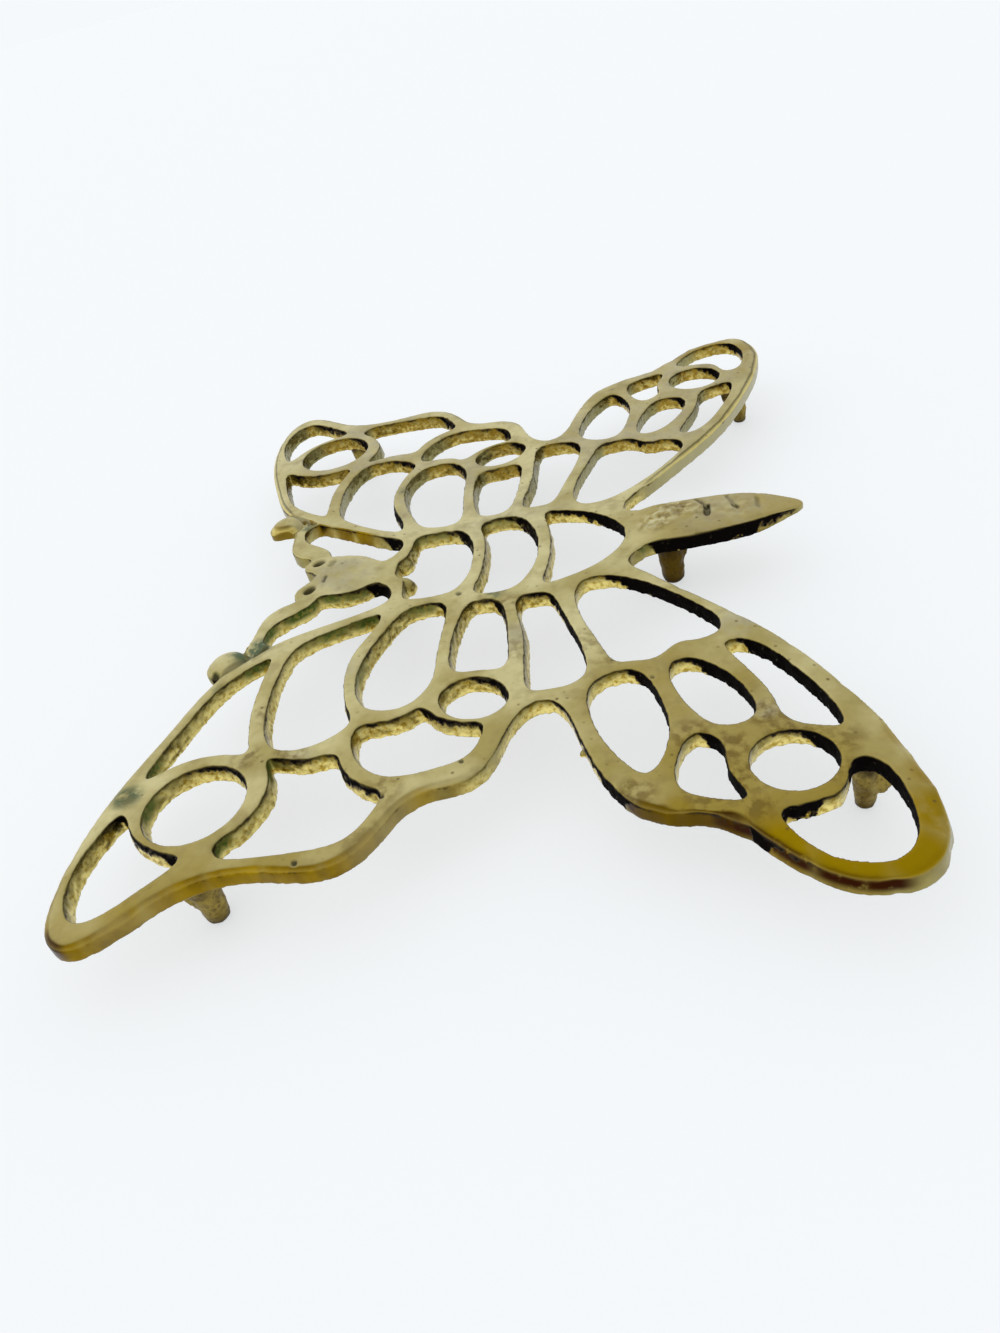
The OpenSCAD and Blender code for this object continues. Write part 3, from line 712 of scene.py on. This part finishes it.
# the ground top: khaki with broad clouds, grey, gold and mustard places, soft stains and dark specks; the
# broad grey and gold places are partly painted reflection, and the crust gets painted shade and highlights
layers = [
    # grey patches, with broad ones on the far side as painted reflection
    (add(tree, "MapRange", {0: cloud["patch"], 1: 0.3, 2: 0.6, 4: 0.8}), "grey_and_reflection", TOP_GREY_AND_REFLECTION),
    (add(tree, "MapRange", {0: cloud["blot"], 1: 0.4, 2: 0.58, 4: 0.75}), "stained", STAIN_DARK),
    (add(tree, "MapRange", {0: cloud["blot"], 1: 0.25, 2: 0.5}), "verdigris", VERDIGRIS_GREEN),
    # painted shade in the crust's pits and painted highlights on its bumps
    (add(tree, "MapRange", {0: cloud["blot"], 1: 0.5, 2: 0.4}), "cratered", STAIN_AND_PIT_SHADE_BROWN),
    (add(tree, "MapRange", {0: cloud["blot"], 1: 0.52, 2: 0.64}), "cratered", CRATER_HIGHLIGHT_PALE),
]
share = add(tree, "MapRange", {0: cloud["broad"], 1: 0.38, 2: 0.64})
top = add(tree, "Mix", {0: share, 6: linear(TOP_PALE), 7: linear(TOP_OLIVE)}, 2, data_type="RGBA")
# darker, more golden tops, partly painted reflection
top = add(tree, "Mix", {0: mark["gold_and_dark_reflection"], 6: top, 7: linear(TOP_GOLD_DARK_REFLECTION)}, 2, data_type="RGBA")
for pattern, name, paint in layers:
    share = add(tree, "Math", {0: mark[name], 1: pattern}, operation="MULTIPLY")
    top = add(tree, "Mix", {0: share, 6: top, 7: linear(paint)}, 2, data_type="RGBA")
share = add(tree, "MapRange", {0: cloud["blot"], 1: 0.5, 2: 0.75, 4: 0.14})
top = add(tree, "Mix", {0: share, 6: top, 7: linear(STAIN_AND_PIT_SHADE_BROWN)}, 2, data_type="RGBA")
share = add(tree, "MapRange", {0: cloud["patch"], 1: 0.54, 2: 0.72, 4: 0.4})
top = add(tree, "Mix", {0: share, 6: top, 7: linear(STAIN_AND_PIT_SHADE_BROWN)}, 2, data_type="RGBA")
share = add(tree, "MapRange", {0: cloud["patch"], 1: 0.2, 2: 0.45, 3: 0.4, 4: 1.0})
share = add(tree, "Math", {0: mark["rubbed"], 1: share}, operation="MULTIPLY")
top = add(tree, "Mix", {0: share, 6: top, 7: linear(TOP_MUSTARD)}, 2, data_type="RGBA")
dots = {"Vector": place, "Scale": 1 / SPECK_SPACING}
chance = add(tree, "SeparateColor", {0: add(tree, "TexVoronoi", dots, "Color")})
chance = add(tree, "MapRange", {0: chance, 1: 0.5, 2: 0.9})
distance = add(tree, "TexVoronoi", dots)
share = add(tree, "MapRange", {0: distance, 1: SPECK_RADIUS, 2: 0.4 * SPECK_RADIUS, 4: 0.75})
share = add(tree, "Math", {0: share, 1: chance}, operation="MULTIPLY")
top = add(tree, "Mix", {0: share, 6: top, 7: linear(SPECK_BROWN)}, 2, data_type="RGBA")

# the sand-rough walls of the cells: pale gold, with painted shade in olive under the top edge, in darker
# brown-gold on the far walls and in grey on walls turned away from the head, and green patina
share = add(tree, "MapRange", {0: cloud["grit"], 1: 0.34, 2: 0.56})
wall = add(tree, "Mix", {0: share, 6: linear(WALL_OCHRE), 7: linear(WALL_GOLD)}, 2, data_type="RGBA")
# painted shade: olive towards the top edge of the walls
share = add(tree, "Math", {0: cloud["blot"], 1: WALL_SHADE_WANDER, 2: height}, operation="MULTIPLY_ADD")
share = add(tree, "MapRange", {0: share, 1: WALL_SHADE_FROM, 2: WALL_SHADE_FULL, 4: 0.9})
wall = add(tree, "Mix", {0: share, 6: wall, 7: linear(WALL_SHADE_OLIVE)}, 2, data_type="RGBA")
# painted shade: walls on the far side go darker brown-gold in clouds
share = add(tree, "MapRange", {0: cloud["blot"], 1: 0.62, 2: 0.4, 3: 0.3, 4: 0.9})
share = add(tree, "Math", {0: mark["far_wall_shade"], 1: share}, operation="MULTIPLY")
wall = add(tree, "Mix", {0: share, 6: wall, 7: linear(WALL_FAR_SHADE)}, 2, data_type="RGBA")
# painted shade: walls turned away from the head go grey
wall = add(tree, "Mix", {0: mark["side_light"], 6: wall, 7: linear(WALL_SIDE_SHADE)}, 2, data_type="RGBA")
share = add(tree, "MapRange", {0: cloud["grit"], 1: 0.22, 2: 0.52})
green = add(tree, "Math", {0: mark["greened"], 1: share}, operation="MULTIPLY")
wall = add(tree, "Mix", {0: downward, 6: wall, 7: linear(UNDERSIDE_BROWN)}, 2, data_type="RGBA")

# the outer rim: smooth khaki, mustard where it was filed, greyer where it turns away from the head as painted
# light, stained red at the end of one wing
share = add(tree, "MapRange", {0: cloud["patch"], 1: 0.35, 2: 0.65})
rim = add(tree, "Mix", {0: share, 6: linear(RIM_KHAKI), 7: linear(RIM_OLIVE)}, 2, data_type="RGBA")
filed = add(tree, "Mix", {0: share, 6: linear(RIM_MUSTARD), 7: linear(RIM_BROWN)}, 2, data_type="RGBA")
rim = add(tree, "Mix", {0: mark["filed"], 6: rim, 7: filed}, 2, data_type="RGBA")
rim = add(tree, "Mix", {0: mark["browned"], 6: rim, 7: linear(RIM_DARK)}, 2, data_type="RGBA")
# painted light: the rim goes greyer where it turns away from the head
rim = add(tree, "Mix", {0: mark["side_light"], 6: rim, 7: linear(RIM_SIDE_GREY)}, 2, data_type="RGBA")
share = add(tree, "MapRange", {0: cloud["blot"], 1: 0.22, 2: 0.4})
share = add(tree, "Math", {0: mark["reddened"], 1: share}, operation="MULTIPLY")
rim = add(tree, "Mix", {0: share, 6: rim, 7: linear(STAIN_RED)}, 2, data_type="RGBA")
bevel = add(tree, "MapRange", {0: normal_z, 1: 0.975, 2: 0.9}, interpolation_type="SMOOTHSTEP")
bevel = add(tree, "Math", {0: bevel, 1: mark["filed"]}, operation="MULTIPLY")
top = add(tree, "Mix", {0: bevel, 6: top, 7: rim}, 2, data_type="RGBA")
side = add(tree, "Mix", {0: mark["rim_wall"], 6: wall, 7: rim}, 2, data_type="RGBA")
side = add(tree, "Mix", {0: green, 6: side, 7: linear(PATINA_GREEN)}, 2, data_type="RGBA")
colour = add(tree, "Mix", {0: upward, 6: side, 7: top}, 2, data_type="RGBA")
cell_edge = add(tree, "MapRange", {0: mark["rim_wall"], 3: 0.75, 4: 0.0})
# lines along the edges: how far the surface faces up where one begins, is full and ends, colour and strength
edge_lines = (
    # a painted highlight: the gold line along the rim's bevel
    (0.9, 0.7, 0.3, EDGE_HIGHLIGHT_GOLD, mark["rim_highlight_and_line"]),
    (0.985, 0.95, 0.85, RIM_LINE, mark["rim_highlight_and_line"]),
    (0.85, 0.5, 0.1, EDGE_OLIVE, cell_edge),
)
for start, middle, end, paint, strength in edge_lines:
    graded = add(tree, "MapRange", {0: normal_z, 1: start, 2: middle})
    graded = add(tree, "MapRange", {0: normal_z, 1: end, 2: middle, 4: graded})
    share = add(tree, "Math", {0: graded, 1: strength}, operation="MULTIPLY")
    colour = add(tree, "Mix", {0: share, 6: colour, 7: linear(paint)}, 2, data_type="RGBA")
colour = add(tree, "Mix", {0: mark["filled"], 6: colour, 7: linear(DENT_DARK)}, 2, data_type="RGBA")

# the black casting skin: as deep below the top edge as its mark says, with a ragged brown border
ragged_depth = {0: cloud["blot"], 1: 0.2, 2: 0.8, 3: 0.5 * SKIN_UNIT, 4: 1.5 * SKIN_UNIT}
raggedness = add(tree, "MapRange", ragged_depth)
wander = add(tree, "MapRange", {0: cloud["patch"], 1: 0.3, 2: 0.7, 3: -SKIN_WANDER, 4: SKIN_WANDER})
wander = add(tree, "Math", {0: cloud["grit"], 1: SKIN_FRAY, 2: wander}, operation="MULTIPLY_ADD")
wander = add(tree, "Math", {0: height, 1: wander}, operation="ADD")
edge = add(tree, "Math", {0: mark["casting_skin"], 1: raggedness, 2: wander}, operation="MULTIPLY_ADD")
not_top = add(tree, "MapRange", {0: normal_z, 1: 0.6, 2: 0.25})
flecks = add(tree, "MapRange", {0: cloud["grit"], 1: 0.14, 2: 0.34, 4: not_top})
for paint, lowest, share in ((SKIN_BROWN, BROWN_LIMIT, not_top), (SKIN_BLACK, BLACK_LIMIT, flecks)):
    black = add(tree, "MapRange", {0: edge, 1: lowest - SKIN_BLUR, 2: lowest + SKIN_BLUR})
    black = add(tree, "Math", {0: black, 1: share}, operation="MULTIPLY")
    colour = add(tree, "Mix", {0: black, 6: colour, 7: linear(paint)}, 2, data_type="RGBA")
tree.links.new(colour, shader.inputs["Base Color"])

tarnish = add(tree, "Math", {0: black, 1: mark["filled"]}, operation="MAXIMUM")
tarnish = add(tree, "Math", {0: green, 1: 0.5, 2: tarnish}, operation="MULTIPLY_ADD", use_clamp=True)
tree.links.new(add(tree, "MapRange", {0: tarnish, 3: 1.0, 4: 0.0}), shader.inputs["Metallic"])
gleam = add(tree, "MapRange", {0: tarnish, 3: BRASS_SPECULAR, 4: TARNISH_SPECULAR})
tree.links.new(gleam, shader.inputs["Specular IOR Level"])
rough = add(tree, "MapRange", {0: mark["rim_wall"], 3: WALL_ROUGHNESS, 4: RIM_ROUGHNESS})
rough = add(tree, "MapRange", {0: upward, 3: rough, 4: TOP_ROUGHNESS})
rough = add(tree, "MapRange", {0: tarnish, 3: rough, 4: TARNISH_ROUGHNESS})
rough = add(tree, "Math", {0: cloud["grit"], 1: ROUGHNESS_SPREAD, 2: rough}, operation="MULTIPLY_ADD")
rough = add(tree, "Math", {0: rough, 1: ROUGHNESS_SPREAD / 2}, operation="SUBTRACT")
tree.links.new(rough, shader.inputs["Roughness"])
smooth = add(tree, "Math", {0: upward, 1: mark["rim_wall"]}, operation="MAXIMUM")
coarseness = add(tree, "MapRange", {0: smooth, 3: WALL_GRAIN, 4: SMOOTH_GRAIN})
grain = {"Strength": coarseness, "Distance": GRAIN_HEIGHT, "Height": cloud["grain"]}
tree.links.new(add(tree, "Bump", grain), shader.inputs["Normal"])


# Pieces of the plate: each region of the pattern is cut from the casting on the lines where its solid ends,
# so wings, thorax, head, antennae and abdomen are pieces of their own that meet as one brass surface. The
# heights and places of the cuts are in mm.
FOOT_CUT = 12
TAIL_FOOT_CUT = 13
BODY_HALF = 23.5
WING_SPLIT = -13
NECK = 31
TAIL_ROOT = -39.5
TEMPLE = 10.5
FAR = 150
SHARP_ANGLE = radians(60)
SLIVER = 0.02 * MM


def cut_out(piece_name, keep, leave_out=()):
    """The share of the casting inside one block and outside others."""
    piece = bpy.data.objects.new(piece_name, casting.data.copy())
    bpy.context.collection.objects.link(piece)
    work(piece, "BOOLEAN", operation="INTERSECT", object=keep, solver="MANIFOLD")
    for tool in leave_out:
        work(piece, "BOOLEAN", operation="DIFFERENCE", object=tool, solver="MANIFOLD")
    pick(piece)
    bpy.ops.object.mode_set(mode="EDIT")
    bpy.ops.mesh.select_all(action="SELECT")
    bpy.ops.mesh.dissolve_degenerate(threshold=SLIVER)
    bpy.ops.object.mode_set(mode="OBJECT")
    bpy.ops.object.shade_smooth_by_angle(angle=SHARP_ANGLE)
    known = np.empty(len(piece.data.vertices), np.float32)
    piece.data.attributes["known"].data.foreach_get("value", known)
    for index in np.flatnonzero(known < 0.5).tolist():
        source = nearest.find(piece.data.vertices[index].co)[1]
        for name, amount in marks.items():
            piece.data.attributes[name].data[index].value = amount[source]
    piece.data.attributes.remove(piece.data.attributes["known"])
    return piece


def hand_over(piece, node_name, finish):
    """Gives a piece its finish and its place in the frame."""
    piece.data.materials.clear()
    piece.data.materials.append(finish)
    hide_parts(node_name)
    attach(piece, "root")


head_block = block((-TEMPLE, NECK, FOOT_CUT), (TEMPLE, FAR, FAR))
abdomen_block = block((-TEMPLE, -FAR, TAIL_FOOT_CUT), (TEMPLE, TAIL_ROOT, FAR))
# the peg under the abdomen is a foot, so all of the tail is left out of the thorax
tail_block = block((-TEMPLE, -FAR, 0), (TEMPLE, TAIL_ROOT, FAR))
body_block = block((-BODY_HALF, -FAR, FOOT_CUT), (BODY_HALF, FAR, FAR))
tools = [head_block, abdomen_block, tail_block, body_block]
head = cut_out("cast_head", head_block)
hand_over(head, "head", plate_brass)
abdomen = cut_out("cast_abdomen", abdomen_block)
hand_over(abdomen, "abdomen", plate_brass)
antenna_blocks = []
for side, side_name in ((-1, "left"), (1, "right")):
    inner_x, outer_x = sorted((side * TEMPLE, side * FAR))
    antenna_block = block((inner_x, 0, FOOT_CUT), (outer_x, FAR, FAR))
    bpy.ops.object.mode_set(mode="EDIT")
    bpy.ops.mesh.select_all(action="SELECT")
    bpy.ops.mesh.bisect(
        plane_co=(side * KNOB_JOINT[0] * MM, KNOB_JOINT[1] * MM, 0),
        plane_no=(-side * sin(KNOB_LINE), cos(KNOB_LINE), 0),
        use_fill=True, clear_inner=True,
    )
    bpy.ops.object.mode_set(mode="OBJECT")
    antenna_blocks.append(antenna_block)
    antenna = cut_out("cast_" + side_name + "_antenna", antenna_block)
    hand_over(antenna, side_name + "_antenna", plate_brass)
tools += antenna_blocks
thorax = cut_out("cast_thorax", body_block, [head_block, tail_block] + antenna_blocks)
hand_over(thorax, "thorax", plate_brass)
for side, side_name in ((-1, "left"), (1, "right")):
    inner_x, outer_x = sorted((side * BODY_HALF, side * FAR))
    fore_block = block((inner_x, WING_SPLIT, FOOT_CUT), (outer_x, FAR, FAR))
    hind_block = block((inner_x, -FAR, FOOT_CUT), (outer_x, WING_SPLIT, FAR))
    forewing = cut_out("cast_" + side_name + "_forewing", fore_block, antenna_blocks)
    hand_over(forewing, side_name + "_forewing", plate_brass)
    hindwing = cut_out("cast_" + side_name + "_hindwing", hind_block)
    hand_over(hindwing, side_name + "_hindwing", plate_brass)
    tools += [fore_block, hind_block]


# Feet: five tapered pegs cast in one with the plate and left as they came from the sand, browner than the
# plate because no one ever polished them, with a fin of flash down one side, and darker at the tip by the
# table and at the root under the plate as painted shade.
FOOT_BRONZE = "#9b8845"
FOOT_BROWN = "#665324"
FOOT_RUST = "#564312"
# dark specks, also painted shade at the tip and root
FOOT_SPECK_AND_SHADE = "#281d10"
# the room that a foot is cut out of, in mm: to each side and below the table
FOOT_HALF_ROOM = 8
BELOW_TABLE = -1
FOOT_CLOUD = 3.5 * MM
FOOT_GRIT = 0.8 * MM
FOOT_GRAIN_HEIGHT = 0.15 * MM
FOOT_GRAIN = 0.6
FOOT_SHINY = 0.36
FOOT_DULL = 0.58
# painted shade on the pegs: how far its edge wanders, where it is full and ends at the tip, and where it
# begins and is full at the root
FOOT_SHADE_WANDER = 4 * MM
TIP_SHADE_FULL = 2.2 * MM
TIP_SHADE_END = 5.4 * MM
ROOT_SHADE_FROM = 10.5 * MM
ROOT_SHADE_FULL = 13 * MM

foot_brass = bpy.data.materials.new("browned_cast_brass")
foot_brass.use_nodes = True
tree = foot_brass.node_tree
shader = tree.nodes["Principled BSDF"]
place = add(tree, "TexCoord", output="Object")
height = add(tree, "SeparateXYZ", {0: place}, "Z")
coarse = add(tree, "TexNoise", {"Vector": place, "Scale": 1 / FOOT_CLOUD, "Detail": CLOUD_DETAIL})
fine = add(tree, "TexNoise", {"Vector": place, "Scale": 1 / FOOT_GRIT, "Detail": CLOUD_DETAIL})
share = add(tree, "MapRange", {0: coarse, 1: 0.42, 2: 0.66})
colour = add(tree, "Mix", {0: share, 6: linear(FOOT_BRONZE), 7: linear(FOOT_BROWN)}, 2, data_type="RGBA")
browned = add(tree, "Attribute", output="Fac", attribute_name="browned")
colour = add(tree, "Mix", {0: browned, 6: colour, 7: linear(FOOT_RUST)}, 2, data_type="RGBA")
share = add(tree, "MapRange", {0: fine, 1: 0.56, 2: 0.72, 4: 0.6})
colour = add(tree, "Mix", {0: share, 6: colour, 7: linear(FOOT_SPECK_AND_SHADE)}, 2, data_type="RGBA")
# painted shade: darker towards the tip by the table and towards the root under the plate
graded = add(tree, "Math", {0: coarse, 1: FOOT_SHADE_WANDER, 2: height}, operation="MULTIPLY_ADD")
share = add(tree, "MapRange", {0: graded, 1: TIP_SHADE_END, 2: TIP_SHADE_FULL, 4: 0.9})
colour = add(tree, "Mix", {0: share, 6: colour, 7: linear(FOOT_SPECK_AND_SHADE)}, 2, data_type="RGBA")
share = add(tree, "MapRange", {0: graded, 1: ROOT_SHADE_FROM, 2: ROOT_SHADE_FULL, 4: 0.7})
colour = add(tree, "Mix", {0: share, 6: colour, 7: linear(FOOT_SPECK_AND_SHADE)}, 2, data_type="RGBA")
tree.links.new(colour, shader.inputs["Base Color"])
shader.inputs["Metallic"].default_value = 1.0
rough = add(tree, "MapRange", {0: fine, 3: FOOT_SHINY, 4: FOOT_DULL})
tree.links.new(rough, shader.inputs["Roughness"])
grain = {"Strength": FOOT_GRAIN, "Distance": FOOT_GRAIN_HEIGHT, "Height": fine}
tree.links.new(add(tree, "Bump", grain), shader.inputs["Normal"])

for foot_name in FLASH_FINS:
    low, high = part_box(foot_name)
    x = (low.x + high.x) / 2 / MM
    y = (low.y + high.y) / 2 / MM
    front = y + FOOT_HALF_ROOM
    top = FOOT_CUT
    if foot_name == "tail_foot":
        front = TAIL_ROOT
        top = TAIL_FOOT_CUT
    foot_low = (x - FOOT_HALF_ROOM, y - FOOT_HALF_ROOM, BELOW_TABLE)
    foot_block = block(foot_low, (x + FOOT_HALF_ROOM, front, top))
    foot = cut_out("cast_" + foot_name, foot_block)
    hand_over(foot, foot_name, foot_brass)
    tools.append(foot_block)

for tool in tools + [casting]:
    bpy.data.objects.remove(tool)


# Floor: a plain pale table top of matt white laminate that the trivet stands on, wide enough to run out of
# the picture. It glows a little towards the eye and in reflections, so that it looks as white as the room.
FLOOR_WHITE = "#f6f8f9"
FLOOR_GLOW = 0.6
FLOOR_SIZE = 60
FLOOR_ROUGHNESS = 0.7

bpy.ops.object.select_all(action="DESELECT")
bpy.ops.mesh.primitive_plane_add(size=FLOOR_SIZE)
floor = bpy.context.object
floor.name = "floor"
floor_paint = bpy.data.materials.new("matt_white_laminate")
floor_paint.use_nodes = True
tree = floor_paint.node_tree
shader = tree.nodes["Principled BSDF"]
shader.inputs["Base Color"].default_value = linear(FLOOR_WHITE)
shader.inputs["Roughness"].default_value = FLOOR_ROUGHNESS
camera_ray = add(tree, "LightPath", output="Is Camera Ray")
glossy_ray = add(tree, "LightPath", output="Is Glossy Ray")
seen = add(tree, "Math", {0: camera_ray, 1: glossy_ray}, operation="MAXIMUM")
glow = add(tree, "Emission", {"Color": linear(FLOOR_WHITE), "Strength": 1.0})
share = add(tree, "Math", {0: seen, 1: FLOOR_GLOW}, operation="MULTIPLY")
lit = add(tree, "MixShader", {0: share, 1: shader.outputs[0], 2: glow})
tree.links.new(lit, tree.nodes["Material Output"].inputs["Surface"])
floor.data.materials.append(floor_paint)


# Light: a bright white room, brightest near the horizon and to the left, softer overhead, so that the top of
# the plate reads paler at its far left than near the camera. Its shadows are faint and have no edges.
SKY_WHITE = "#f6f9fc"
SKY_HORIZON = 1.28
SKY_ZENITH = 0.98
SKY_LEFT = 0.2
SKY_SEEN = 1.0

scene = bpy.context.scene
world = bpy.data.worlds.new("white_room")
scene.world = world
world.use_nodes = True
tree = world.node_tree
sky = tree.nodes["Background"]
sky.inputs["Color"].default_value = linear(SKY_WHITE)
direction = add(tree, "TexCoord", output="Generated")
leftward = add(tree, "SeparateXYZ", {0: direction}, "Y")
upward = add(tree, "SeparateXYZ", {0: direction}, "Z")
glow = add(tree, "MapRange", {0: upward, 3: SKY_HORIZON, 4: SKY_ZENITH})
glow = add(tree, "Math", {0: leftward, 1: SKY_LEFT, 2: glow}, operation="MULTIPLY_ADD")
seen = add(tree, "LightPath", output="Is Camera Ray")
tree.links.new(add(tree, "Mix", {0: seen, 2: glow, 3: SKY_SEEN}), sky.inputs["Strength"])


# Camera: a small wide lens held close over the left wings, looking down across the body to the right wings
# and tilted to one side, so the near wings look large and the far ones small.
CAMERA_PLACE = (-230.25 * MM, -43.4 * MM, 151.86 * MM)
CAMERA_AZIMUTH = -77.783
CAMERA_ELEVATION = 36.283
CAMERA_ROLL = -15.364
CAMERA_LENS = 27.01
CAMERA_CLIP = 10 * MM

bpy.ops.object.camera_add(location=CAMERA_PLACE)
camera = bpy.context.object
aim = Euler((radians(90 - CAMERA_ELEVATION), 0, radians(CAMERA_AZIMUTH))).to_matrix()
camera.rotation_euler = (aim @ Matrix.Rotation(radians(CAMERA_ROLL), 3, "Z")).to_euler()
camera.data.lens = CAMERA_LENS
camera.data.clip_start = CAMERA_CLIP
scene.camera = camera
scene.view_settings.view_transform = "Standard"
